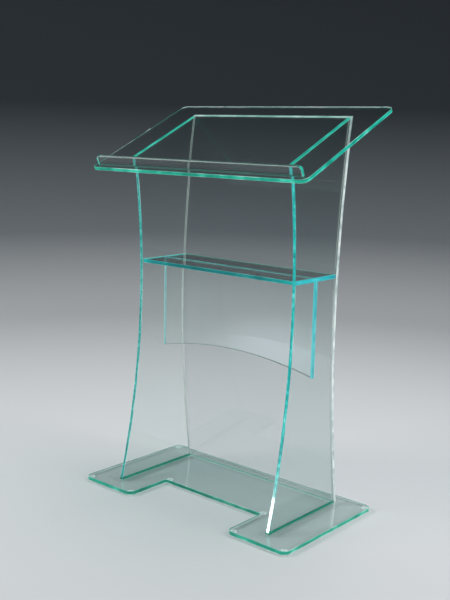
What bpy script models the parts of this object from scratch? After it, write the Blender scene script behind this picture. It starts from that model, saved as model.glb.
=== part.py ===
"""Presentation lectern in clear, green-edged acrylic sheet.

Every sheet is 10 mm thick. The flat ones are cut to their outline, the front panel is
bent to a long curve, and all of them are bonded edge to face with clear cement, so
nothing moves. Eight clear bumpers under the base carry the weight.

Front is the audience side (+Y). The speaker stands on the -Y side, with the feet in the
notch of the base, and left and right are the speaker's own (+X is right). The origin is
on the floor at the middle of the lectern's outer box, and +Z is up.
"""

from math import asin, cos, radians, sin, sqrt, tan

import bmesh
import bpy
from mathutils import Vector

MM = 0.001

# Outer box and stock
OVERALL_HEIGHT = 1106.5 * MM
OVERALL_DEPTH = 410 * MM
SHEET = 10 * MM                 # thickness of every sheet
BOND = 0.3 * MM                 # film of cement between two bonded sheets
CORNER_RADIUS = 20 * MM         # outer corners of the base and of the reading top

# Base plate and its bumpers
BASE_WIDTH = 750 * MM
BASE_DEPTH = 398 * MM
NOTCH_WIDTH = 362 * MM          # room for the speaker's feet
NOTCH_DEPTH = 145 * MM
NOTCH_RADIUS = 4 * MM           # its two inner corners
BUMPER_RADIUS = 9.5 * MM
BUMPER_HEIGHT = 3 * MM
BUMPER_INSET = 14 * MM          # from the edges of the base to a bumper's centre
BUMPER_EDGE = 0.8 * MM

# Upright body: two side panels, and the front panel bonded over their front edges
BODY_WIDTH = 562 * MM
SIDE_EDGE_RADIUS = 2350 * MM    # the side panels' hollow edge on the speaker's side
SIDE_WAIST_Y = -73.6 * MM
SIDE_WAIST_Z = 616 * MM
FRONT_FACE_RADIUS = 3500 * MM   # the front panel's hollow face, towards the audience
FRONT_WAIST_Y = 114 * MM
FRONT_WAIST_Z = 535 * MM
ARC_STEPS = 24

# Reading top and the stop that keeps a book on it
TOP_WIDTH = 750 * MM
TOP_LENGTH = 418 * MM           # along the slope
TOP_SLOPE = radians(25.4)
STOP_WIDTH = 714 * MM
STOP_HEIGHT = 26 * MM
STOP_SETBACK = 14 * MM          # from the top's lower edge
STOP_CORNER_RADIUS = 10 * MM

# Shelf, and the arched panel that hangs under it
SHELF_HEIGHT = 665 * MM         # its upper face, above the floor
SHELF_SETBACK = 4 * MM          # from the waist of the side panels' edge
STIFFENER_Y = 18 * MM           # its face towards the speaker
STIFFENER_FOOT_Z = 396 * MM
STIFFENER_ARCH = 32 * MM        # rise of its lower edge

# Worked out from the above
BASE_UNDERSIDE = BUMPER_HEIGHT + BOND
FLOOR_OF_BODY = BASE_UNDERSIDE + SHEET + BOND
BASE_REAR_Y = -OVERALL_DEPTH / 2
BASE_FRONT_Y = BASE_REAR_Y + BASE_DEPTH
INNER_HALF_WIDTH = BODY_WIDTH / 2 - SHEET - BOND
TOP_EDGE_Y = OVERALL_DEPTH / 2 - SHEET * sin(TOP_SLOPE) - TOP_LENGTH * cos(TOP_SLOPE)
TOP_EDGE_Z = OVERALL_HEIGHT - TOP_LENGTH * sin(TOP_SLOPE)
SIDE_CENTRE_Y = SIDE_WAIST_Y - SIDE_EDGE_RADIUS
FRONT_CENTRE_Y = FRONT_WAIST_Y + FRONT_FACE_RADIUS

UP = Vector((0, 0, 1))
ACROSS = Vector((1, 0, 0))
AWAY = Vector((0, 1, 0))


def clear_scene():
    for old in list(bpy.data.objects):
        bpy.data.objects.remove(old, do_unlink=True)


def clear_plastic(name, colour, roughness):
    """A see-through plastic; colour is linear."""
    material = bpy.data.materials.new(name)
    material.use_nodes = True
    shader = material.node_tree.nodes["Principled BSDF"]
    shader.inputs["Base Color"].default_value = (*colour, 1)
    shader.inputs["Metallic"].default_value = 0
    shader.inputs["Roughness"].default_value = roughness
    shader.inputs["IOR"].default_value = 1.49
    shader.inputs["Transmission Weight"].default_value = 0.9
    material.diffuse_color = (*colour, 0.4)
    return material


def acrylic(name):
    """Cast acrylic with a faint green body tint."""
    return clear_plastic(name + "_acrylic", (0.42, 0.80, 0.72), 0.03)


def add_object(name, mesh, material, place=(0, 0, 0)):
    item = bpy.data.objects.new(name, mesh)
    item.location = place
    if not mesh.materials:
        mesh.materials.append(material)
    bpy.context.scene.collection.objects.link(item)
    return item


def cut_sheet(outline, thickness):
    """A solid sheet: a flat outline, as vectors in order, extruded by a thickness vector."""
    bm = bmesh.new()
    face = bm.faces.new([bm.verts.new(point) for point in outline])
    swept = bmesh.ops.extrude_face_region(bm, geom=[face])["geom"]
    moved = [part for part in swept if isinstance(part, bmesh.types.BMVert)]
    bmesh.ops.translate(bm, verts=moved, vec=thickness)
    bmesh.ops.recalc_face_normals(bm, faces=bm.faces)
    return bm


def round_corners(bm, corners, through, radius, segments):
    """Round a sheet at some corners of its outline; through is the thickness direction."""
    edges = []
    for edge in bm.edges:
        start, end = edge.verts[0].co, edge.verts[1].co
        if abs((end - start).normalized().dot(through)) < 0.999:
            continue
        for corner in corners:
            offset = start - Vector(corner)
            if (offset - through * offset.dot(through)).length < 0.01 * MM:
                edges.append(edge)
    bmesh.ops.bevel(bm, geom=edges, offset=radius, offset_type="OFFSET", segments=segments,
                    profile=0.5, affect="EDGES", clamp_overlap=False, material=-1)


def finish_sheet(name, bm):
    mesh = bpy.data.meshes.new(name)
    bm.to_mesh(mesh)
    bm.free()
    return add_object(name, mesh, acrylic(name))


def top_underside(y):
    """Height of the body's sloping upper end, a cement film below the reading top."""
    drop = (SHEET + BOND) / cos(TOP_SLOPE)
    return TOP_EDGE_Z + (y - TOP_EDGE_Y) * tan(TOP_SLOPE) - drop


def meets_top(centre_y, centre_z, radius, side):
    """Where an upright arc reaches the reading top; side is +1 or -1, its side of the centre."""
    slope = tan(TOP_SLOPE)
    rise = top_underside(0) - centre_z
    a = 1 + slope ** 2
    b = slope * rise - centre_y
    c = centre_y ** 2 + rise ** 2 - radius ** 2
    y = (-b + side * sqrt(b ** 2 - a * c)) / a
    return y, top_underside(y)


def upright_arc(centre_y, centre_z, radius, side):
    """An upright arc from the base to the reading top, as (y, z) pairs from bottom to top."""
    top_z = meets_top(centre_y, centre_z, radius, side)[1]
    start = asin((FLOOR_OF_BODY - centre_z) / radius)
    end = asin((top_z - centre_z) / radius)
    angles = [start + (end - start) * step / ARC_STEPS for step in range(ARC_STEPS + 1)]
    return [(centre_y + side * radius * cos(t), centre_z + radius * sin(t)) for t in angles]


def speaker_edge():
    """The side panels' hollow edge."""
    return upright_arc(SIDE_CENTRE_Y, SIDE_WAIST_Z, SIDE_EDGE_RADIUS, 1)


def front_curve(setback):
    """A line parallel to the front panel's audience face, setback behind it."""
    return upright_arc(FRONT_CENTRE_Y, FRONT_WAIST_Z, FRONT_FACE_RADIUS + setback, -1)


def front_inner_y(z):
    """The front panel's inner face, less a cement film, at a height."""
    radius = FRONT_FACE_RADIUS + SHEET + BOND
    return FRONT_CENTRE_Y - sqrt(radius ** 2 - (z - FRONT_WAIST_Z) ** 2)


def make_base_plate():
    """A plate with a notch for the speaker's feet, which leaves a foot on either side."""
    half, notch = BASE_WIDTH / 2, NOTCH_WIDTH / 2
    rear, front = BASE_REAR_Y, BASE_FRONT_Y
    inner = rear + NOTCH_DEPTH
    outline = [(-half, rear), (-notch, rear), (-notch, inner), (notch, inner),
               (notch, rear), (half, rear), (half, front), (-half, front)]
    points = [Vector((x, y, BASE_UNDERSIDE)) for x, y in outline]
    bm = cut_sheet(points, UP * SHEET)
    inner_corners = points[2:4]
    outer_corners = points[0:2] + points[4:8]
    round_corners(bm, inner_corners, UP, NOTCH_RADIUS, 3)
    round_corners(bm, outer_corners, UP, CORNER_RADIUS, 8)
    finish_sheet("base_plate", bm)


def make_bumpers():
    """Clear stick-on bumpers: four at the feet, two by the notch and two at the front."""
    bm = bmesh.new()
    bmesh.ops.create_cone(bm, cap_ends=True, segments=32, radius1=BUMPER_RADIUS,
                          radius2=BUMPER_RADIUS, depth=BUMPER_HEIGHT)
    bmesh.ops.translate(bm, verts=bm.verts, vec=UP * BUMPER_HEIGHT / 2)
    foot_ring = [edge for edge in bm.edges if all(v.co.z < BUMPER_EDGE for v in edge.verts)]
    bmesh.ops.bevel(bm, geom=foot_ring, offset=BUMPER_EDGE, segments=2, profile=0.5,
                    affect="EDGES", material=-1)
    mesh = bpy.data.meshes.new("bumper")
    bm.to_mesh(mesh)
    bm.free()
    material = clear_plastic("clear_polyurethane", (0.75, 0.85, 0.82), 0.25)

    outer_x = BASE_WIDTH / 2 - BUMPER_INSET
    foot_inner_x = NOTCH_WIDTH / 2 + BUMPER_INSET
    notch_x = NOTCH_WIDTH / 2 - BUMPER_INSET / 4
    foot_y = BASE_REAR_Y + BUMPER_INSET
    notch_y = BASE_REAR_Y + NOTCH_DEPTH + BUMPER_INSET
    front_y = BASE_FRONT_Y - BUMPER_INSET
    places = {"foot_outer": (outer_x, foot_y), "foot_inner": (foot_inner_x, foot_y),
              "notch": (notch_x, notch_y), "front": (outer_x, front_y)}
    for spot, (x, y) in places.items():
        add_object("bumper_" + spot + "_left", mesh, material, (-x, y, 0))
        add_object("bumper_" + spot + "_right", mesh, material, (x, y, 0))


def make_side_panels():
    """Upright panels, waisted on both edges, that stand on the base and carry the top."""
    front_edge = front_curve(SHEET + BOND)
    profile = speaker_edge() + front_edge[::-1]
    for name, inner_x in (("side_panel_left", -BODY_WIDTH / 2),
                          ("side_panel_right", BODY_WIDTH / 2 - SHEET)):
        points = [Vector((inner_x, y, z)) for y, z in profile]
        finish_sheet(name, cut_sheet(points, ACROSS * SHEET))


def make_front_panel():
    """A bent sheet across the audience side, flaring at the base and under the top."""
    profile = front_curve(0) + front_curve(SHEET)[::-1]
    points = [Vector((-BODY_WIDTH / 2, y, z)) for y, z in profile]
    finish_sheet("front_panel", cut_sheet(points, ACROSS * BODY_WIDTH))


def make_reading_top():
    """The sloping top and its book stop, both built flat and tilted together."""
    slope = bpy.data.objects.new("reading_slope", None)
    slope.location = (0, TOP_EDGE_Y, TOP_EDGE_Z)
    slope.rotation_euler.x = TOP_SLOPE
    bpy.context.scene.collection.objects.link(slope)

    half = TOP_WIDTH / 2
    outline = [(-half, 0), (half, 0), (half, TOP_LENGTH), (-half, TOP_LENGTH)]
    corners = [Vector((x, y, 0)) for x, y in outline]
    bm = cut_sheet(corners, -UP * SHEET)
    round_corners(bm, corners, UP, CORNER_RADIUS, 8)
    finish_sheet("reading_top", bm).parent = slope

    half = STOP_WIDTH / 2
    outline = [(-half, BOND), (half, BOND), (half, STOP_HEIGHT), (-half, STOP_HEIGHT)]
    corners = [Vector((x, STOP_SETBACK, z)) for x, z in outline]
    bm = cut_sheet(corners, AWAY * SHEET)
    round_corners(bm, corners[2:], AWAY, STOP_CORNER_RADIUS, 6)
    finish_sheet("book_stop", bm).parent = slope


def make_shelf():
    """A flat shelf between the side panels, bonded to the front panel behind it."""
    underside = SHELF_HEIGHT - SHEET
    near, far = SIDE_WAIST_Y + SHELF_SETBACK, front_inner_y(underside)
    half = INNER_HALF_WIDTH
    outline = [(-half, near), (half, near), (half, far), (-half, far)]
    points = [Vector((x, y, underside)) for x, y in outline]
    finish_sheet("shelf", cut_sheet(points, UP * SHEET))


def make_shelf_stiffener():
    """A panel hanging under the shelf, from side to side, with an arched lower edge."""
    half = INNER_HALF_WIDTH
    top = SHELF_HEIGHT - SHEET - BOND
    radius = (half ** 2 + STIFFENER_ARCH ** 2) / (2 * STIFFENER_ARCH)
    centre_z = STIFFENER_FOOT_Z + STIFFENER_ARCH - radius
    sweep = asin(half / radius)
    angles = [sweep * (2 * step / ARC_STEPS - 1) for step in range(ARC_STEPS + 1)]
    arch = [(radius * sin(t), centre_z + radius * cos(t)) for t in angles]
    outline = arch + [(half, top), (-half, top)]
    points = [Vector((x, STIFFENER_Y, z)) for x, z in outline]
    finish_sheet("shelf_stiffener", cut_sheet(points, AWAY * SHEET))


def main():
    clear_scene()
    make_base_plate()
    make_bumpers()
    make_side_panels()
    make_front_panel()
    make_reading_top()
    make_shelf()
    make_shelf_stiffener()


main()
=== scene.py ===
"""Looks of the presentation lectern: clear cast acrylic sheets with green polished edges.

Each CAD sheet is replaced by a finer one with smooth curves and flame-polished corners.
Its broad faces are clear, its exposed edges have a painted green, teal or pale glow, and its
bonded edges show the cement under the same painted glow. The bumpers under the base are moulded
in clear polyurethane, with a faint painted glow.
"""

from math import asin, cos, pi, radians, sin, sqrt

import bmesh
import bpy
from mathutils import Matrix, Vector


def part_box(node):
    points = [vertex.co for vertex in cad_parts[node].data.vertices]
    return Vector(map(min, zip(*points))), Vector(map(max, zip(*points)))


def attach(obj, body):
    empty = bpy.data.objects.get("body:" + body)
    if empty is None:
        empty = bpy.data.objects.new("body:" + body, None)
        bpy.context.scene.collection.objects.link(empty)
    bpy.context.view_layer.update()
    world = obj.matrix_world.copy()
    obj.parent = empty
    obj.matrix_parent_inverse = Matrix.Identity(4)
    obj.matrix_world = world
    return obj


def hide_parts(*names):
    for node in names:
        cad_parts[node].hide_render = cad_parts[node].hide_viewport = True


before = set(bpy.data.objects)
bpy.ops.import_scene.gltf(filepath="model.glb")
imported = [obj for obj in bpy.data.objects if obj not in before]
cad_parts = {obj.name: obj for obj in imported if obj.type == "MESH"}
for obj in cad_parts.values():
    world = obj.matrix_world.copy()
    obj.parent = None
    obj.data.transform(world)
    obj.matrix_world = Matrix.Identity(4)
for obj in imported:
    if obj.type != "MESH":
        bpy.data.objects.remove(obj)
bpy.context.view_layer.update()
ROOT = "root"

MM = 0.001
SHEET = 10 * MM                 # thickness of every sheet
BOND = 0.3 * MM                 # cement film between two sheets
ARRIS = 0.9 * MM                # width of a flame-polished corner
THIN, FULL, THICK = 0.8 * MM, 1.5 * MM, 3.5 * MM   # how far cement climbs up from a joint
BEAD_SHARE = 0.35               # how far it stands beside the sheet, as a share of that
CEMENT_ROUNDING = 0.25 * MM     # of the corners of a bead
TINY = 0.01 * MM                # points closer than this count as one

CORNER_RADIUS = 20 * MM         # outer corners of the base and of the reading top
NOTCH_WIDTH = 362 * MM          # room for the speaker's feet
NOTCH_DEPTH = 145 * MM
NOTCH_RADIUS = 4 * MM           # its two inner corners
SIDE_EDGE_RADIUS = 2350 * MM    # the side panels' hollow edge on the speaker's side
SIDE_WAIST_Z = 616 * MM
FRONT_FACE_RADIUS = 3500 * MM   # the front panel's hollow face, towards the audience
FRONT_WAIST_Z = 535 * MM
TOP_SLOPE = radians(25.4)
STOP_SETBACK = 14 * MM          # from the top's lower edge
STOP_CORNER_RADIUS = 10 * MM
STIFFENER_ARCH = 32 * MM        # rise of its lower edge
ARC_REACH = 640 * MM            # how far an upright arc is drawn above and below its waist

# Flat steps in each curve
ARC_STEPS = 96
CORNER_STEPS = 12
NOTCH_STEPS = 5
STOP_STEPS = 8
ARRIS_STEPS = 3

CREASE = radians(35)            # edges of a sheet that turn by more stay sharp
CEMENT_CREASE = radians(60)     # edges of a cement block that turn by more are rounded
PARALLEL = 0.999                # least cosine between two parallel directions
FACING = 0.8                    # least cosine between a bonded edge and its joint's direction
END_FACING = 0.35               # the same for an end, which takes in its rounded corners

UP = Vector((0, 0, 1))
ACROSS = Vector((1, 0, 0))
AWAY = Vector((0, 1, 0))

# Material slots of every sheet, in this order
FACE, CORNER, EDGE, END, JOINT = range(5)


# Sheets ---------------------------------------------------------------------------------

def cut_sheet(outline, thickness):
    """A flat sheet: an outline, as vectors in order, extruded by a thickness vector."""
    bm = bmesh.new()
    bm.faces.new([bm.verts.new(point) for point in outline])
    return thicken(bm, thickness)


def thicken(bm, thickness):
    """Extrude an open surface by a thickness vector into a closed sheet."""
    swept = bmesh.ops.extrude_face_region(bm, geom=bm.faces[:])["geom"]
    moved = [part for part in swept if isinstance(part, bmesh.types.BMVert)]
    bmesh.ops.translate(bm, verts=moved, vec=thickness)
    bmesh.ops.recalc_face_normals(bm, faces=bm.faces)
    return bm


def round_corners(bm, corners, through, radius, steps):
    """Round a sheet at some corners of its outline; through is the thickness direction."""
    edges = []
    for edge in bm.edges:
        start, end = edge.verts[0].co, edge.verts[1].co
        if abs((end - start).normalized().dot(through)) < PARALLEL:
            continue
        for corner in corners:
            offset = start - corner
            if (offset - through * offset.dot(through)).length < TINY:
                edges.append(edge)
    bmesh.ops.bevel(bm, geom=edges, offset=radius, offset_type="OFFSET", segments=steps,
                    profile=0.5, affect="EDGES", clamp_overlap=False, material=-1)


def between_arcs(x, arcs):
    """A profile at x between two upright arcs, cut level at the base and sloping at the top.

    Each arc is its centre, its radius, and +1 or -1 for its side of the centre.
    """
    bm = bmesh.new()
    for centre, radius, side in arcs:
        reach = asin(ARC_REACH / radius)
        foot = Vector((x, centre.y + side * radius * cos(reach), centre.z - ARC_REACH))
        bmesh.ops.spin(bm, geom=[bm.verts.new(foot)], cent=centre, axis=ACROSS,
                       angle=side * 2 * reach, steps=ARC_STEPS)
    bmesh.ops.bridge_loops(bm, edges=bm.edges[:])
    foot_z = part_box("front_panel")[0].z
    for place, outward in ((Vector((0, 0, foot_z)), -UP), (under_top(), SLOPE_UP)):
        bmesh.ops.bisect_plane(bm, geom=bm.verts[:] + bm.edges[:] + bm.faces[:],
                               plane_co=place, plane_no=outward, clear_outer=True)
    return bm


def sheet_object(name, bm, depth, finish_and_glow, joints=(), ends=(), place=None):
    """Polish a sheet's exposed edges, tell its faces apart, and put it in its CAD node's place.

    depth gives a point's distance from the sheet's middle surface. finish_and_glow lists the
    materials of faces, corners, edges and ends, most of which carry a painted glow. joints
    gives the outward direction of each bonded edge, its cement and how far that climbs, and ends
    are the directions of edges that count as ends.
    """
    bm.normal_update()

    def kind(face):
        sides = {round(depth(vert.co) / SHEET * 2) for vert in face.verts}
        if len(sides) == 1:
            return FACE
        if any(face.normal.dot(way) > FACING for way, _, _ in joints):
            return JOINT
        return END if any(face.normal.dot(way) > END_FACING for way in ends) else EDGE

    for face in bm.faces:
        face.material_index = kind(face)
    if joints:
        make_cement(name, bm, depth, joints, place)
    exposed = []
    for edge in bm.edges:
        kinds = {face.material_index for face in edge.link_faces}
        if FACE in kinds and kinds & {EDGE, END}:
            exposed.append(edge)
    bmesh.ops.bevel(bm, geom=exposed, offset=ARRIS, offset_type="OFFSET",
                    segments=ARRIS_STEPS, profile=0.5, affect="EDGES", material=CORNER)
    note_depth(bm, depth)
    if place:
        bm.transform(place)
    bm.normal_update()
    for face in bm.faces:
        face.smooth = True
    for edge in bm.edges:
        kinds = {face.material_index for face in edge.link_faces}
        edge.smooth = len(kinds) == 1 and edge.calc_face_angle(0) < CREASE
    # Ends look like the other edges unless finish_and_glow says otherwise, and bonded edges are
    # clear
    finish_and_glow = finish_and_glow + [finish_and_glow[EDGE]] * (JOINT - len(finish_and_glow)) + [finish_and_glow[FACE]]
    piece = mesh_object(name + "_acrylic", bm, finish_and_glow)
    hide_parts(name)


def note_depth(bm, depth):
    """Keep each point's place in the sheet's thickness, from -1 to 1, for the materials."""
    layer = bm.verts.layers.float.new("sheet_depth")
    for vert in bm.verts:
        vert[layer] = depth(vert.co) / SHEET * 2


def make_cement(name, sheet, depth, joints, place):
    """The cement in a sheet's bonded edges, squeezed out into a bead along both its faces."""
    film = sheet.copy()
    aside = film.verts.layers.float_vector.new("aside")
    for vert in film.verts:
        faces = [face.normal for face in vert.link_faces if face.material_index == FACE]
        vert[aside] = sum(faces, Vector()).normalized()
    bmesh.ops.delete(film, context="FACES",
                     geom=[face for face in film.faces if face.material_index != JOINT])
    bmesh.ops.split_edges(film, edges=[edge for edge in film.edges
                                       if edge.calc_face_angle(0) > CREASE])
    strips = [[face for face in film.faces if face.normal.dot(way) > FACING]
              for way, _, _ in joints]
    for number, ((way, _, climb), faces) in enumerate(zip(joints, strips)):
        for face in faces:
            face.material_index = number
        for vert in {vert for face in faces for vert in face.verts}:
            vert.co += vert[aside] * climb * BEAD_SHARE - way * climb
        swept = bmesh.ops.extrude_face_region(film, geom=faces)["geom"]
        moved = [part for part in swept if isinstance(part, bmesh.types.BMVert)]
        bmesh.ops.translate(film, verts=moved, vec=way * (BOND + climb))
    bmesh.ops.recalc_face_normals(film, faces=film.faces)
    rims = [edge for edge in film.edges if edge.calc_face_angle(0) > CEMENT_CREASE]
    bmesh.ops.bevel(film, geom=rims, offset=CEMENT_ROUNDING, offset_type="OFFSET",
                    segments=ARRIS_STEPS, profile=0.5, affect="EDGES", material=-1)
    note_depth(film, depth)
    if place:
        film.transform(place)
    for face in film.faces:
        face.smooth = True
    piece = mesh_object(name + "_cement", film, [cement for _, cement, _ in joints])


def mesh_object(name, bm, materials):
    """A piece of the lectern, riding on its only body."""
    mesh = bpy.data.meshes.new(name)
    bm.to_mesh(mesh)
    bm.free()
    for material in materials:
        mesh.materials.append(material)
    piece = bpy.data.objects.new(name, mesh)
    bpy.context.scene.collection.objects.link(piece)
    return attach(piece, ROOT)


# The slope of the reading top, from the CAD
top_low, top_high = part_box("reading_top")
SLOPE_UP = Vector((0, -sin(TOP_SLOPE), cos(TOP_SLOPE)))
TOP_LENGTH = (top_high.z - top_low.z - SHEET * cos(TOP_SLOPE)) / sin(TOP_SLOPE)
ON_SLOPE = Matrix.Translation((0, top_low.y, top_high.z - TOP_LENGTH * sin(TOP_SLOPE))) \
    @ Matrix.Rotation(TOP_SLOPE, 4, "X")


def under_top():
    """A point on the plane that cuts the upright sheets, a cement film under the top."""
    return ON_SLOPE @ Vector((0, 0, -SHEET - BOND))


# Materials ------------------------------------------------------------------------------

ACRYLIC_IOR = 1.49
POLYURETHANE_IOR = 1.5

# Sizes of the patterns, in millimetres
SMEARS = 70                     # left on the faces by handling
SWELL = 220                     # slow unevenness of a cast face
RIPPLES = 9                     # left on the edges by the flame
MOULD_GRAIN = 1.5
CLOUDS = 6                      # in the bumpers

# Streaks are noise over the depth, from -1 to 1, and over a slow drift along the edge
STREAK_DRIFT = 7                # units to a metre
STREAK_SCALE = 1.6
PAINTED_SHADE = 0.14, 0.27              # distances from X = 0 between which the painted shade of the middle fades out
BUBBLE_RIM = 0.16, 0.24         # where a bubble fades out, as shares of the bubbles' spacing
BEAD_SHOWS = 0.85               # depth at which a bead starts to show
BRIGHT_COVER = 0.7              # how much the bubbles and beads of a thin film hide


def linear(code, alpha=1.0):
    """Linear colour of an sRGB hex code."""
    shades = [int(code[i:i + 2], 16) / 255 for i in (1, 3, 5)]
    return (*(s / 12.92 if s <= 0.04045 else ((s + 0.055) / 1.055) ** 2.4 for s in shades),
            alpha)


def add(tree, kind, inputs=None, stops=None, **settings):
    """Add a shader node. An input is a value or another node's output, by name or number."""
    node = tree.nodes.new("ShaderNode" + kind)
    for name, value in settings.items():
        setattr(node, name, value)
    for name, value in (inputs or {}).items():
        if isinstance(value, bpy.types.NodeSocket):
            tree.links.new(value, node.inputs[name])
        else:
            node.inputs[name].default_value = value
    if stops:
        ramp = node.color_ramp
        while len(ramp.elements) < len(stops):
            ramp.elements.new(1)
        for element, (position, code) in zip(ramp.elements, stops):
            element.position = position
            element.color = linear(code)
    return node


def new_material(name):
    material = bpy.data.materials.new(name)
    material.use_nodes = True
    material.node_tree.nodes.clear()
    return material, material.node_tree


def per_mm(size):
    """Noise scale for a feature of this size in millimetres."""
    return 1000 / size


def cast_face(name, tint, shine="#FFFFFF"):
    """Cell-cast acrylic as it left the glass mould: clear, flat, hardly tinted, glossy.

    A grey shine makes a face mirror less of what stands in front of it.
    """
    material, tree = new_material(name)
    place = add(tree, "TexCoord").outputs["Object"]
    handling = add(tree, "TexNoise", {"Vector": place, "Scale": per_mm(SMEARS), "Detail": 4})
    smears = add(tree, "MapRange", {0: handling.outputs[0], 1: 0.5, 2: 0.8, 3: 0.0, 4: 0.02})
    swell = add(tree, "TexNoise", {"Vector": place, "Scale": per_mm(SWELL), "Detail": 1})
    flow = add(tree, "Bump", {"Height": swell.outputs[0], "Strength": 0.2,
                              "Distance": 0.15 * MM})
    glass = add(tree, "BsdfPrincipled", {"Base Color": linear(tint), "IOR": ACRYLIC_IOR,
                                         "Transmission Weight": 1,
                                         "Specular Tint": linear(shine),
                                         "Roughness": smears.outputs[0],
                                         "Normal": flow.outputs[0]})
    close_glass(tree, glass, tint)
    return material


def close_glass(tree, shader, tint):
    """Let lamps shine through, as they do through clear sheet, instead of a black shadow."""
    through = add(tree, "BsdfTransparent", {0: linear(tint)})
    ray = add(tree, "LightPath")
    lit = add(tree, "MixShader", {0: ray.outputs["Is Shadow Ray"], 1: shader.outputs[0],
                                  2: through.outputs[0]})
    add(tree, "OutputMaterial", {0: lit.outputs[0]})


def painted_trapped_light(tree, stops, patch=45, middle=1.0):
    """Painted colour of a glow that stands for the light leaving a cut edge: streaks over its
    depth and along it, standing for its inner reflections and caustics, and patches of a size
    in millimetres. middle is how much of it is left in the middle of the lectern: a painted
    shade, standing for the shade of its top."""
    place = add(tree, "TexCoord").outputs["Object"]
    depth = add(tree, "Attribute", attribute_name="sheet_depth").outputs["Fac"]
    drift = add(tree, "VectorMath", {0: place, 1: (STREAK_DRIFT,) * 3}, operation="MULTIPLY")
    layers = add(tree, "CombineXYZ", {0: depth})
    along = add(tree, "VectorMath", {0: layers.outputs[0], 1: drift.outputs[0]},
                operation="ADD")
    streaks = add(tree, "TexNoise", {"Vector": along.outputs[0], "Scale": STREAK_SCALE,
                                     "Detail": 2})
    patches = add(tree, "TexNoise", {"Vector": place, "Scale": per_mm(patch), "Detail": 3})
    mixed = add(tree, "Math", {0: streaks.outputs[0], 1: patches.outputs[0]},
                operation="ADD")
    half = add(tree, "Math", {0: mixed.outputs[0], 1: 0.5}, operation="MULTIPLY")
    colour = add(tree, "ValToRGB", {0: half.outputs[0]}, stops=stops).outputs[0]
    # Painted shade: the glow dims towards X = 0, where the reading top shades the lectern
    if middle < 1:
        across = add(tree, "SeparateXYZ", {0: place}).outputs["X"]
        aside = add(tree, "Math", {0: across}, operation="ABSOLUTE")
        lit = add(tree, "MapRange", {0: aside.outputs[0], 1: PAINTED_SHADE[0], 2: PAINTED_SHADE[1], 3: middle,
                                     4: 1.0}, interpolation_type="SMOOTHSTEP")
        colour = add(tree, "VectorMath", {0: colour, "Scale": lit.outputs[0]},
                     operation="SCALE").outputs[0]
    return colour, place, depth


def plastic_with_painted_glow(tree, place, colour, body, glow, cover=1.0, gloss=0.35):
    """Edge surface: a dark body under a clear gloss, with a painted glow (emission) standing for
    the sheet's trapped light.
    """
    ripple = add(tree, "TexNoise", {"Vector": place, "Scale": per_mm(RIPPLES), "Detail": 2})
    flame = add(tree, "Bump", {"Height": ripple.outputs[0], "Strength": 0.3,
                               "Distance": 0.12 * MM})
    return add(tree, "BsdfPrincipled", {"Base Color": linear(body), "Roughness": 0.22,
                                        "IOR": ACRYLIC_IOR, "Specular IOR Level": 0.2,
                                        "Coat Weight": gloss, "Coat Roughness": 0.04,
                                        "Emission Color": colour,
                                        "Emission Strength": glow, "Alpha": cover,
                                        "Normal": flame.outputs[0]})


def polished_edge_with_painted_glow(name, stops, body, glow, from_inside=False, patch=45, middle=1.0,
                  gloss=0.35):
    """A sawn edge, flame polished, with a painted glow standing for the light trapped between
    the faces that leaves here, tinted by its long way through the sheet. Seen through the sheet
    such an edge is clear, unless from_inside paints the glow that way as well. gloss is how much
    clear gloss lies over it."""
    material, tree = new_material(name)
    colour, place, _ = painted_trapped_light(tree, stops, patch, middle)
    surface = plastic_with_painted_glow(tree, place, colour, body, glow, gloss=gloss)
    if not from_inside:
        inside = add(tree, "BsdfPrincipled", {"Base Color": linear("#F2FBF8"),
                                              "IOR": ACRYLIC_IOR, "Transmission Weight": 1,
                                              "Roughness": 0.02})
        side = add(tree, "NewGeometry")
        surface = add(tree, "MixShader", {0: side.outputs["Backfacing"],
                                          1: surface.outputs[0], 2: inside.outputs[0]})
    add(tree, "OutputMaterial", {0: surface.outputs[0]})
    return material


def cement_with_painted_glow(name, stops, body, bead, glow, veil=1.0, bubble=4):
    """Solvent cement set in a joint, with air bubbles, under a painted glow like the edges'; its
    bubbles and beads glow brighter as painted highlights. veil is how much of what lies behind
    the middle of the joint it hides, and bubble is how far apart the bubbles are, in
    millimetres."""
    material, tree = new_material(name)
    colour, place, depth = painted_trapped_light(tree, stops)
    cells = add(tree, "TexVoronoi", {"Vector": place, "Scale": per_mm(bubble)})
    bubbles = add(tree, "MapRange", {0: cells.outputs["Distance"], 1: BUBBLE_RIM[0],
                                     2: BUBBLE_RIM[1], 3: 1.0, 4: 0.0})
    rim = add(tree, "Math", {0: depth}, operation="ABSOLUTE")
    beads = add(tree, "MapRange", {0: rim.outputs[0], 1: BEAD_SHOWS, 2: 1.0, 3: 0.0, 4: 1.0})
    bright = add(tree, "Math", {0: bubbles.outputs[0], 1: beads.outputs[0]},
                 operation="MAXIMUM")
    mixed = add(tree, "Mix", {0: bright.outputs[0], 6: colour, 7: linear(bead)},
                data_type="RGBA")
    cover = 1.0
    if veil < 1:
        cover = add(tree, "MapRange", {0: bright.outputs[0], 3: veil,
                                       4: BRIGHT_COVER}).outputs[0]
    surface = plastic_with_painted_glow(tree, place, mixed.outputs[2], body, glow, cover)
    add(tree, "OutputMaterial", {0: surface.outputs[0]})
    return material


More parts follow.
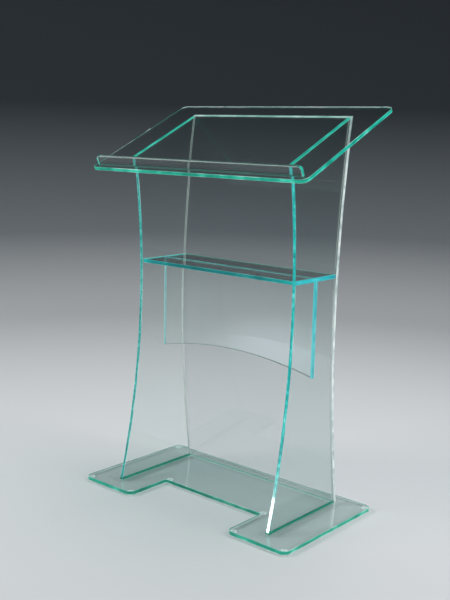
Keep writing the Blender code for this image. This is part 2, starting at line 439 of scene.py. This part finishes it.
# Colours of the painted glow of trapped light, from its dim streaks to its bright ones; alike
# sheets, such as the two side panels, get different ones
GREEN = [(0.36, "#0E6A59"), (0.46, "#178771"), (0.55, "#2CA389"), (0.66, "#6FD8C0")]
SEA = [(0.36, "#12806F"), (0.46, "#1EA592"), (0.55, "#30C6B2"), (0.66, "#8CF0E0")]
JADE = [(0.36, "#067561"), (0.46, "#0A9179"), (0.55, "#12AC91"), (0.66, "#4FE0C4")]
SLATE = [(0.36, "#26776E"), (0.46, "#36968C"), (0.55, "#4DB6AC"), (0.66, "#9AE2DC")]
TEAL = [(0.36, "#0C7C7C"), (0.46, "#14A09C"), (0.55, "#24C4BC"), (0.66, "#86EEE6")]
CYAN = [(0.36, "#1793A0"), (0.46, "#25AEB8"), (0.55, "#38C6CE"), (0.66, "#94EDF0")]
MIST = [(0.36, "#4B8A8C"), (0.46, "#6CA6A7"), (0.55, "#8FC4C5"), (0.66, "#C9ECEC")]
DEEP = [(0.36, "#0A4A3D"), (0.48, "#0F6652"), (0.58, "#168A70"), (0.68, "#3FB99E")]
MILK = [(0.36, "#6A9C92"), (0.46, "#8FBDB4"), (0.55, "#B6D8D3"), (0.66, "#EAF8F6")]
PALE = [(0.36, "#84949A"), (0.46, "#B0C1C6"), (0.55, "#DCE9EC"), (0.66, "#FFFFFF")]
GREEN_HIGHLIGHT_LINE = [(0.38, "#3BA690"), (0.5, "#74CDBC"), (0.62, "#DDF7F1")]
TEAL_HIGHLIGHT_LINE = [(0.38, "#2FA5A3"), (0.5, "#62CAC6"), (0.62, "#D4F7F5")]
PALE_HIGHLIGHT_LINE = [(0.38, "#8FA3A0"), (0.5, "#BCCCC9"), (0.62, "#FFFFFF")]
DARK_GREEN, DARK_TEAL, GREY = "#0A4F43", "#0A5156", "#8E9C95"

CLEAR_FACE = cast_face("cast_acrylic_face", "#F4FAF9")
BENT_FACE = cast_face("bent_acrylic_face", "#EAEFF0")
STOP_FACE = cast_face("cast_acrylic_stop_face", "#F4FAF9", "#808080")
# Corners: their painted glow runs up to white, drawing highlight lines and glints along the
# arrises, seen from both sides
GREEN_CORNER = polished_edge_with_painted_glow("flamed_green_corner", GREEN_HIGHLIGHT_LINE, DARK_GREEN, 0.8, True)
TEAL_CORNER = polished_edge_with_painted_glow("flamed_teal_corner", TEAL_HIGHLIGHT_LINE, DARK_TEAL, 0.75, True)
PALE_CORNER = polished_edge_with_painted_glow("flamed_clear_corner", PALE_HIGHLIGHT_LINE, GREY, 0.6, True)
FAINT_CORNER = polished_edge_with_painted_glow("flamed_thin_corner", PALE_HIGHLIGHT_LINE, GREY, 0.3, True)
DULL_CORNER = polished_edge_with_painted_glow("flamed_dull_corner", DEEP, GREY, 0.25, True)
# Painted shade: the base's edge glow is dimmer in the middle, under the top
BASE_EDGE = polished_edge_with_painted_glow("polished_base_edge", GREEN, DARK_GREEN, 1.0, middle=0.5)
TOP_EDGE = polished_edge_with_painted_glow("polished_top_edge", SEA, DARK_GREEN, 1.0)
# A dimmer copy of the top's painted glow, without gloss, for its front edge, which faces down to
# the pale floor: painted shade making up for the light it catches there
TOP_FRONT_EDGE = polished_edge_with_painted_glow("polished_top_front_edge", JADE, DARK_GREEN, 0.88, gloss=0)
# The side panels are alike; their edges get different painted glows, slate on the left and teal
# on the right
LEFT_EDGE = polished_edge_with_painted_glow("polished_left_edge", SLATE, DARK_TEAL, 0.85, patch=9)
RIGHT_EDGE = polished_edge_with_painted_glow("polished_right_edge", TEAL, DARK_TEAL, 0.9, patch=12)
# Painted shade: the shelf's edge glow is dimmer in the middle, under the top
SHELF_EDGE = polished_edge_with_painted_glow("polished_shelf_edge", TEAL, DARK_TEAL, 0.9, middle=0.42)
ARCH_EDGE = polished_edge_with_painted_glow("polished_arched_edge", GREEN, DARK_GREEN, 0.9)
PALE_EDGE = polished_edge_with_painted_glow("polished_clear_edge", PALE, GREY, 0.75, True, patch=20)
GREEN_END = polished_edge_with_painted_glow("polished_green_end", SEA, DARK_GREEN, 0.95, True, patch=9)
# The cements glow with painted light, each joint in its own colours, so the two ends of the
# shelf and of the stiffener differ
TOP_CEMENT = cement_with_painted_glow("green_lit_cement", SEA, DARK_GREEN, "#58D8BE", 1.1)
FOOT_CEMENT = cement_with_painted_glow("foot_cement", DEEP, DARK_GREEN, "#1F7D69", 0.8)
TEAL_CEMENT = cement_with_painted_glow("teal_lit_cement", TEAL, DARK_TEAL, "#6FE6DE", 0.9)
DOTTED_CEMENT = cement_with_painted_glow("bubbly_teal_cement", TEAL, DARK_TEAL, "#BDF6F2", 0.9, 0.5, 8)
CYAN_CEMENT = cement_with_painted_glow("cyan_lit_cement", CYAN, DARK_TEAL, "#4CC9CF", 0.95)
MIST_CEMENT = cement_with_painted_glow("misty_cement", MIST, DARK_TEAL, "#9CCBCB", 0.9)
RIM_CEMENT = cement_with_painted_glow("pale_lit_cement", MILK, DARK_GREEN, "#D8F0EC", 0.9)
SEAM_CEMENT = cement_with_painted_glow("thin_seam_cement", GREEN, DARK_GREEN, "#57BFA7", 0.8, 0.12)
STOP_CEMENT = cement_with_painted_glow("stop_cement", DEEP, DARK_GREEN, "#5F9488", 0.6, 0.12)
CLEAR_CEMENT = cement_with_painted_glow("clear_cement", PALE, GREY, "#D0DEDA", 0.4, 0.12)


# The lectern ----------------------------------------------------------------------------

def make_base_plate():
    low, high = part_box("base_plate")
    notch = NOTCH_WIDTH / 2
    inner = low.y + NOTCH_DEPTH
    outline = [(low.x, low.y), (-notch, low.y), (-notch, inner), (notch, inner),
               (notch, low.y), (high.x, low.y), (high.x, high.y), (low.x, high.y)]
    points = [Vector((x, y, low.z)) for x, y in outline]
    bm = cut_sheet(points, UP * SHEET)
    round_corners(bm, points[2:4], UP, NOTCH_RADIUS, NOTCH_STEPS)
    round_corners(bm, points[0:2] + points[4:8], UP, CORNER_RADIUS, CORNER_STEPS)
    middle = (low.z + high.z) / 2
    sheet_object("base_plate", bm, lambda co: co.z - middle,
                 [CLEAR_FACE, GREEN_CORNER, BASE_EDGE])


def front_arc(setback):
    """An arc of the bent front panel, setback from its audience face."""
    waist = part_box("front_panel")[0].y + SHEET
    centre = Vector((0, waist + FRONT_FACE_RADIUS, FRONT_WAIST_Z))
    return centre, FRONT_FACE_RADIUS + setback, -1


def speaker_arc():
    """The hollow edge of the side panels, on the speaker's side."""
    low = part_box("side_panel_left")[0]
    foot = SIDE_EDGE_RADIUS - sqrt(SIDE_EDGE_RADIUS ** 2 - (SIDE_WAIST_Z - low.z) ** 2)
    return Vector((0, low.y + foot - SIDE_EDGE_RADIUS, SIDE_WAIST_Z)), SIDE_EDGE_RADIUS, 1


def make_side_panels():
    for name, edge in (("side_panel_left", LEFT_EDGE), ("side_panel_right", RIGHT_EDGE)):
        low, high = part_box(name)
        bm = thicken(between_arcs(low.x, [speaker_arc(), front_arc(SHEET + BOND)]),
                     ACROSS * SHEET)
        middle = (low.x + high.x) / 2
        sheet_object(name, bm, lambda co: co.x - middle,
                     [CLEAR_FACE, TEAL_CORNER, edge],
                     joints=[(UP, TOP_CEMENT, FULL), (-UP, FOOT_CEMENT, THICK),
                             (AWAY, CLEAR_CEMENT, FULL)])


def make_front_panel():
    low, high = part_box("front_panel")
    centre, radius, _ = front_arc(SHEET / 2)
    bm = thicken(between_arcs(low.x, [front_arc(0), front_arc(SHEET)]),
                 ACROSS * (high.x - low.x))
    sheet_object("front_panel", bm,
                 lambda co: sqrt((co.y - centre.y) ** 2 + (co.z - centre.z) ** 2) - radius,
                 [BENT_FACE, PALE_CORNER, PALE_EDGE],
                 joints=[(UP, RIM_CEMENT, FULL), (-UP, SEAM_CEMENT, THIN)])


def make_reading_top():
    low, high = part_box("reading_top")
    corners = [Vector((x, y, 0)) for x, y in ((low.x, 0), (high.x, 0), (high.x, TOP_LENGTH),
                                              (low.x, TOP_LENGTH))]
    bm = cut_sheet(corners, -UP * SHEET)
    round_corners(bm, corners, UP, CORNER_RADIUS, CORNER_STEPS)
    sheet_object("reading_top", bm, lambda co: co.z + SHEET / 2,
                 [CLEAR_FACE, GREEN_CORNER, TOP_EDGE, TOP_FRONT_EDGE], ends=[-AWAY],
                 place=ON_SLOPE)


def make_book_stop():
    low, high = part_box("book_stop")
    height = (high.z - low.z - SHEET * sin(TOP_SLOPE)) / cos(TOP_SLOPE) + BOND
    corners = [Vector((x, STOP_SETBACK, z)) for x, z in ((low.x, BOND), (high.x, BOND),
                                                         (high.x, height), (low.x, height))]
    bm = cut_sheet(corners, AWAY * SHEET)
    round_corners(bm, corners[2:], AWAY, STOP_CORNER_RADIUS, STOP_STEPS)
    middle = STOP_SETBACK + SHEET / 2
    sheet_object("book_stop", bm, lambda co: co.y - middle,
                 [STOP_FACE, FAINT_CORNER, CLEAR_FACE, GREEN_END],
                 joints=[(-UP, STOP_CEMENT, THIN)], ends=[ACROSS, -ACROSS], place=ON_SLOPE)


def make_shelf():
    low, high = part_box("shelf")
    outline = [(low.x, low.y), (high.x, low.y), (high.x, high.y), (low.x, high.y)]
    bm = cut_sheet([Vector((x, y, low.z)) for x, y in outline], UP * SHEET)
    middle = (low.z + high.z) / 2
    sheet_object("shelf", bm, lambda co: co.z - middle,
                 [CLEAR_FACE, TEAL_CORNER, SHELF_EDGE],
                 joints=[(ACROSS, CYAN_CEMENT, FULL), (-ACROSS, TEAL_CEMENT, FULL),
                         (AWAY, SEAM_CEMENT, THIN)])


def make_shelf_stiffener():
    """The hanging sheet under the shelf, whose lower edge is one shallow arch."""
    low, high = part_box("shelf_stiffener")
    half = high.x
    radius = (half ** 2 + STIFFENER_ARCH ** 2) / (2 * STIFFENER_ARCH)
    centre = Vector((0, low.y, low.z + STIFFENER_ARCH - radius))
    bm = bmesh.new()
    corner = bm.verts.new((-half, low.y, low.z))
    sweep = 2 * asin(half / radius)
    bmesh.ops.spin(bm, geom=[corner], cent=centre, axis=AWAY, angle=sweep, steps=ARC_STEPS)
    arch = bm.verts[:]
    top = [bm.verts.new((x, low.y, high.z)) for x in (half, -half)]
    bm.faces.new(arch + top)
    thicken(bm, AWAY * SHEET)
    middle = (low.y + high.y) / 2
    sheet_object("shelf_stiffener", bm, lambda co: co.y - middle,
                 [CLEAR_FACE, DULL_CORNER, ARCH_EDGE],
                 joints=[(ACROSS, CYAN_CEMENT, THICK), (-ACROSS, MIST_CEMENT, FULL),
                         (UP, DOTTED_CEMENT, FULL)])


def polyurethane_with_painted_glow(name, light, dark, glow):
    """Clear cast polyurethane: milky, with a painted glow standing for the light it gathers, and
    satin from its mould.
    """
    material, tree = new_material(name)
    place = add(tree, "TexCoord").outputs["Object"]
    grain = add(tree, "TexNoise", {"Vector": place, "Scale": per_mm(MOULD_GRAIN), "Detail": 2})
    satin = add(tree, "MapRange", {0: grain.outputs[0], 3: 0.25, 4: 0.45})
    cloud = add(tree, "TexNoise", {"Vector": place, "Scale": per_mm(CLOUDS), "Detail": 2})
    milk = add(tree, "ValToRGB", {0: cloud.outputs[0]}, stops=[(0.35, dark), (0.65, light)])
    body = add(tree, "BsdfPrincipled", {"Base Color": milk.outputs[0],
                                        "IOR": POLYURETHANE_IOR,
                                        "Transmission Weight": 0.15,
                                        "Roughness": satin.outputs[0],
                                        "Emission Color": milk.outputs[0],
                                        "Emission Strength": glow})
    add(tree, "OutputMaterial", {0: body.outputs[0]})
    return material


# Section of a bumper; its shares are of the bumper's radius
FOOT_SHARE = 0.80               # flat of the rounded foot
BULGE_HEIGHT = 1.2 * MM         # where the foot has widened to the full radius
RIM_SHARE = 0.74                # inner edge of the raised rim
RECESS_SHARE = 0.68             # where its inner slope ends
RECESS = 0.5 * MM               # depth inside the rim
PAD_SHARE = 0.66                # the adhesive pad
BUMPER_ROUNDING = 0.3 * MM
RING_TURN = radians(20)         # rings of the section that turn by more are rounded
BUMPER_STEPS = 48


def make_bumpers():
    """Discs with a rounded foot and a raised rim, stuck to the base plate by a pad inside it."""
    # Both mouldings have a faint painted glow, so they stay light in the shade under the base
    rim = polyurethane_with_painted_glow("polyurethane_with_painted_glow", "#FFFFFF", "#DDE9E7", 0.3)
    pad = polyurethane_with_painted_glow("adhesive_pad", "#DCE8E9", "#BFD0D2", 0.28)
    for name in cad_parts:
        if not name.startswith("bumper_"):
            continue
        low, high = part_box(name)
        centre = (low + high) / 2
        radius = (high.x - low.x) / 2
        pad_z = high.z - RECESS
        section = [(0, low.z), (radius * FOOT_SHARE, low.z), (radius, low.z + BULGE_HEIGHT),
                   (radius, high.z), (radius * RIM_SHARE, high.z),
                   (radius * RECESS_SHARE, pad_z), (0, pad_z)]
        bm = bmesh.new()
        verts = [bm.verts.new((r, 0, z)) for r, z in section]
        for pair in zip(verts, verts[1:]):
            bm.edges.new(pair)
        bmesh.ops.spin(bm, geom=bm.verts[:] + bm.edges[:], cent=(0, 0, 0), axis=UP,
                       angle=2 * pi, steps=BUMPER_STEPS, use_merge=True)
        bmesh.ops.remove_doubles(bm, verts=bm.verts, dist=TINY)
        bmesh.ops.recalc_face_normals(bm, faces=bm.faces)
        rings = [edge for edge in bm.edges if edge.calc_face_angle(0) > RING_TURN]
        bmesh.ops.bevel(bm, geom=rings, offset=BUMPER_ROUNDING, segments=ARRIS_STEPS,
                        profile=0.5, affect="EDGES", material=-1)
        for face in bm.faces:
            middle = face.calc_center_median()
            on_pad = middle.z > pad_z - TINY and middle.xy.length < radius * PAD_SHARE
            face.material_index = 1 if on_pad else 0
            face.smooth = True
        bmesh.ops.translate(bm, verts=bm.verts, vec=(centre.x, centre.y, 0))
        piece = mesh_object(name + "_moulding", bm, [rim, pad])
        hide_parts(name)


# Studio ---------------------------------------------------------------------------------

FLOOR_RADIUS = 2.7
COVE_RADIUS = 1.4
COVE_STEPS = 16
WALL_HEIGHT = 9.0
STAGE_STEPS = 96
DARK_ABOVE = 1.2                # height at which the backdrop is darkest
MIDDLE = (0, 0, 0.6)            # of the lectern
RIGHT_FOOT = (0.28, -0.15, 0.06)   # of the right side panel


def make_stage():
    """A pale floor that curves up all round into a plain backdrop."""
    bm = bmesh.new()
    middle = bm.verts.new((0, 0, 0))
    rim = bm.verts.new((FLOOR_RADIUS, 0, 0))
    bm.edges.new((middle, rim))
    curved = bmesh.ops.spin(bm, geom=[rim], cent=(FLOOR_RADIUS, 0, COVE_RADIUS), axis=AWAY,
                            angle=-pi / 2, steps=COVE_STEPS)["geom_last"]
    end = [part for part in curved if isinstance(part, bmesh.types.BMVert)][0]
    bm.edges.new((end, bm.verts.new((FLOOR_RADIUS + COVE_RADIUS, 0, WALL_HEIGHT))))
    bmesh.ops.spin(bm, geom=bm.verts[:] + bm.edges[:], cent=(0, 0, 0), axis=UP,
                   angle=2 * pi, steps=STAGE_STEPS, use_merge=True)
    bmesh.ops.remove_doubles(bm, verts=bm.verts, dist=TINY)
    bmesh.ops.recalc_face_normals(bm, faces=bm.faces)
    bmesh.ops.reverse_faces(bm, faces=bm.faces)
    for face in bm.faces:
        face.smooth = True
    mesh = bpy.data.meshes.new("studio_cove")
    bm.to_mesh(mesh)
    bm.free()
    mesh.materials.append(graduated_paint())
    cove = bpy.data.objects.new("studio_cove", mesh)
    bpy.context.scene.collection.objects.link(cove)


def graduated_paint():
    """Matt studio paint, pale on the floor and darker up the backdrop behind clear sheet."""
    material, tree = new_material("matt_studio_paint")
    place = add(tree, "TexCoord").outputs["Object"]
    height = add(tree, "SeparateXYZ", {0: place}).outputs["Z"]
    rise = add(tree, "MapRange", {0: height, 1: 0.0, 2: DARK_ABOVE})
    shade = add(tree, "ValToRGB", {0: rise.outputs[0]},
                stops=[(0.0, "#D3D6D8"), (0.3, "#868C91"), (1.0, "#3F454A")])
    paint = add(tree, "BsdfPrincipled", {"Base Color": shade.outputs[0], "Roughness": 0.9,
                                         "Specular IOR Level": 0})
    add(tree, "OutputMaterial", {0: paint.outputs[0]})
    return material


def add_softbox(name, place, aim, width, height, power, glint_spread=0):
    """An area light that only lights, or, with a glint_spread in degrees, a gridded one that
    is only mirrored in gloss and only by what lies within that angle in front of it."""
    lamp = bpy.data.lights.new(name, "AREA")
    lamp.shape = "RECTANGLE"
    lamp.size, lamp.size_y = width, height
    lamp.energy = power
    box = bpy.data.objects.new(name, lamp)
    box.location = place
    box.rotation_euler = (Vector(aim) - Vector(place)).to_track_quat("-Z", "Y").to_euler()
    box.visible_camera = False
    box.visible_transmission = False
    box.visible_glossy = glint_spread > 0
    box.visible_diffuse = not box.visible_glossy
    if glint_spread:
        lamp.spread = radians(glint_spread)
    bpy.context.scene.collection.objects.link(box)


def make_sheen_card():
    """A soft-edged card low on the speaker's side, seen only as a sheen on upright sheets."""
    place = Vector((-1.0, -1.45, 0.02))
    half_length, half_width = 1.1, 0.4
    turned = radians(53)
    bm = bmesh.new()
    bmesh.ops.create_grid(bm, x_segments=1, y_segments=1, size=1)
    mesh = bpy.data.meshes.new("sheen_card")
    bm.to_mesh(mesh)
    bm.free()
    material, tree = new_material("sheen_card_glow")
    point = add(tree, "TexCoord").outputs["Object"]
    spread = add(tree, "VectorMath", {0: point}, operation="LENGTH").outputs["Value"]
    fade = add(tree, "MapRange", {0: spread, 1: 0.2, 2: 1.0, 3: 1.0, 4: 0.0},
               interpolation_type="SMOOTHSTEP")
    clear = add(tree, "BsdfTransparent")
    shine = add(tree, "Emission", {0: linear("#DCE8F4"), 1: 3.0})
    soft = add(tree, "MixShader", {0: fade.outputs[0], 1: clear.outputs[0],
                                   2: shine.outputs[0]})
    add(tree, "OutputMaterial", {0: soft.outputs[0]})
    mesh.materials.append(material)
    card = bpy.data.objects.new("sheen_card", mesh)
    card.matrix_world = Matrix.Translation(place) @ Matrix.Rotation(turned, 4, "Z") \
        @ Matrix.Diagonal((half_length, half_width, 1, 1))
    card.visible_camera = False
    card.visible_diffuse = False
    card.visible_transmission = False
    card.visible_shadow = False
    bpy.context.scene.collection.objects.link(card)


def make_lights():
    """Three softboxes, a glint up the right side panel's foot, a sheen and a dim surround."""
    add_softbox("key_softbox", place=(-2.1, -2.3, 2.4), aim=MIDDLE, width=1.6, height=1.6,
                power=75)
    add_softbox("side_softbox", place=(2.6, 0.6, 1.8), aim=MIDDLE, width=0.8, height=1.8,
                power=30)
    add_softbox("top_softbox", place=(0.2, 0.9, 3.2), aim=MIDDLE, width=1.8, height=1.2,
                power=60)
    add_softbox("low_strip", place=(-0.3, -1.0, 0.035), aim=RIGHT_FOOT, width=0.14,
                height=0.07, power=0.12, glint_spread=40)
    make_sheen_card()
    world = bpy.data.worlds.new("studio_world")
    world.use_nodes = True
    world.node_tree.nodes["Background"].inputs[0].default_value = linear("#DDE3E6")
    world.node_tree.nodes["Background"].inputs[1].default_value = 0.5
    bpy.context.scene.world = world


def make_camera():
    """On the speaker's side and to the right, level with the reading top, looking down."""
    place = Vector((1.6509, -1.9311, 1.0402))
    azimuth, pitch, roll = radians(40.8), radians(10.45), radians(1.225)
    forward = Vector((-sin(azimuth) * cos(pitch), cos(azimuth) * cos(pitch), -sin(pitch)))
    right = Vector((cos(azimuth), sin(azimuth), 0))
    up = right.cross(forward)
    across = right * cos(roll) + up * sin(roll)
    upward = up * cos(roll) - right * sin(roll)
    camera = bpy.data.objects.new("camera", bpy.data.cameras.new("camera"))
    camera.data.lens = 55.64
    camera.data.clip_end = 50
    axes = Matrix((across, upward, -forward)).transposed().to_4x4()
    camera.matrix_world = Matrix.Translation(place) @ axes
    bpy.context.scene.collection.objects.link(camera)
    bpy.context.scene.camera = camera


make_base_plate()
make_side_panels()
make_front_panel()
make_reading_top()
make_book_stop()
make_shelf()
make_shelf_stiffener()
make_bumpers()
make_stage()
make_lights()
make_camera()
bpy.context.scene.view_settings.view_transform = "Standard"
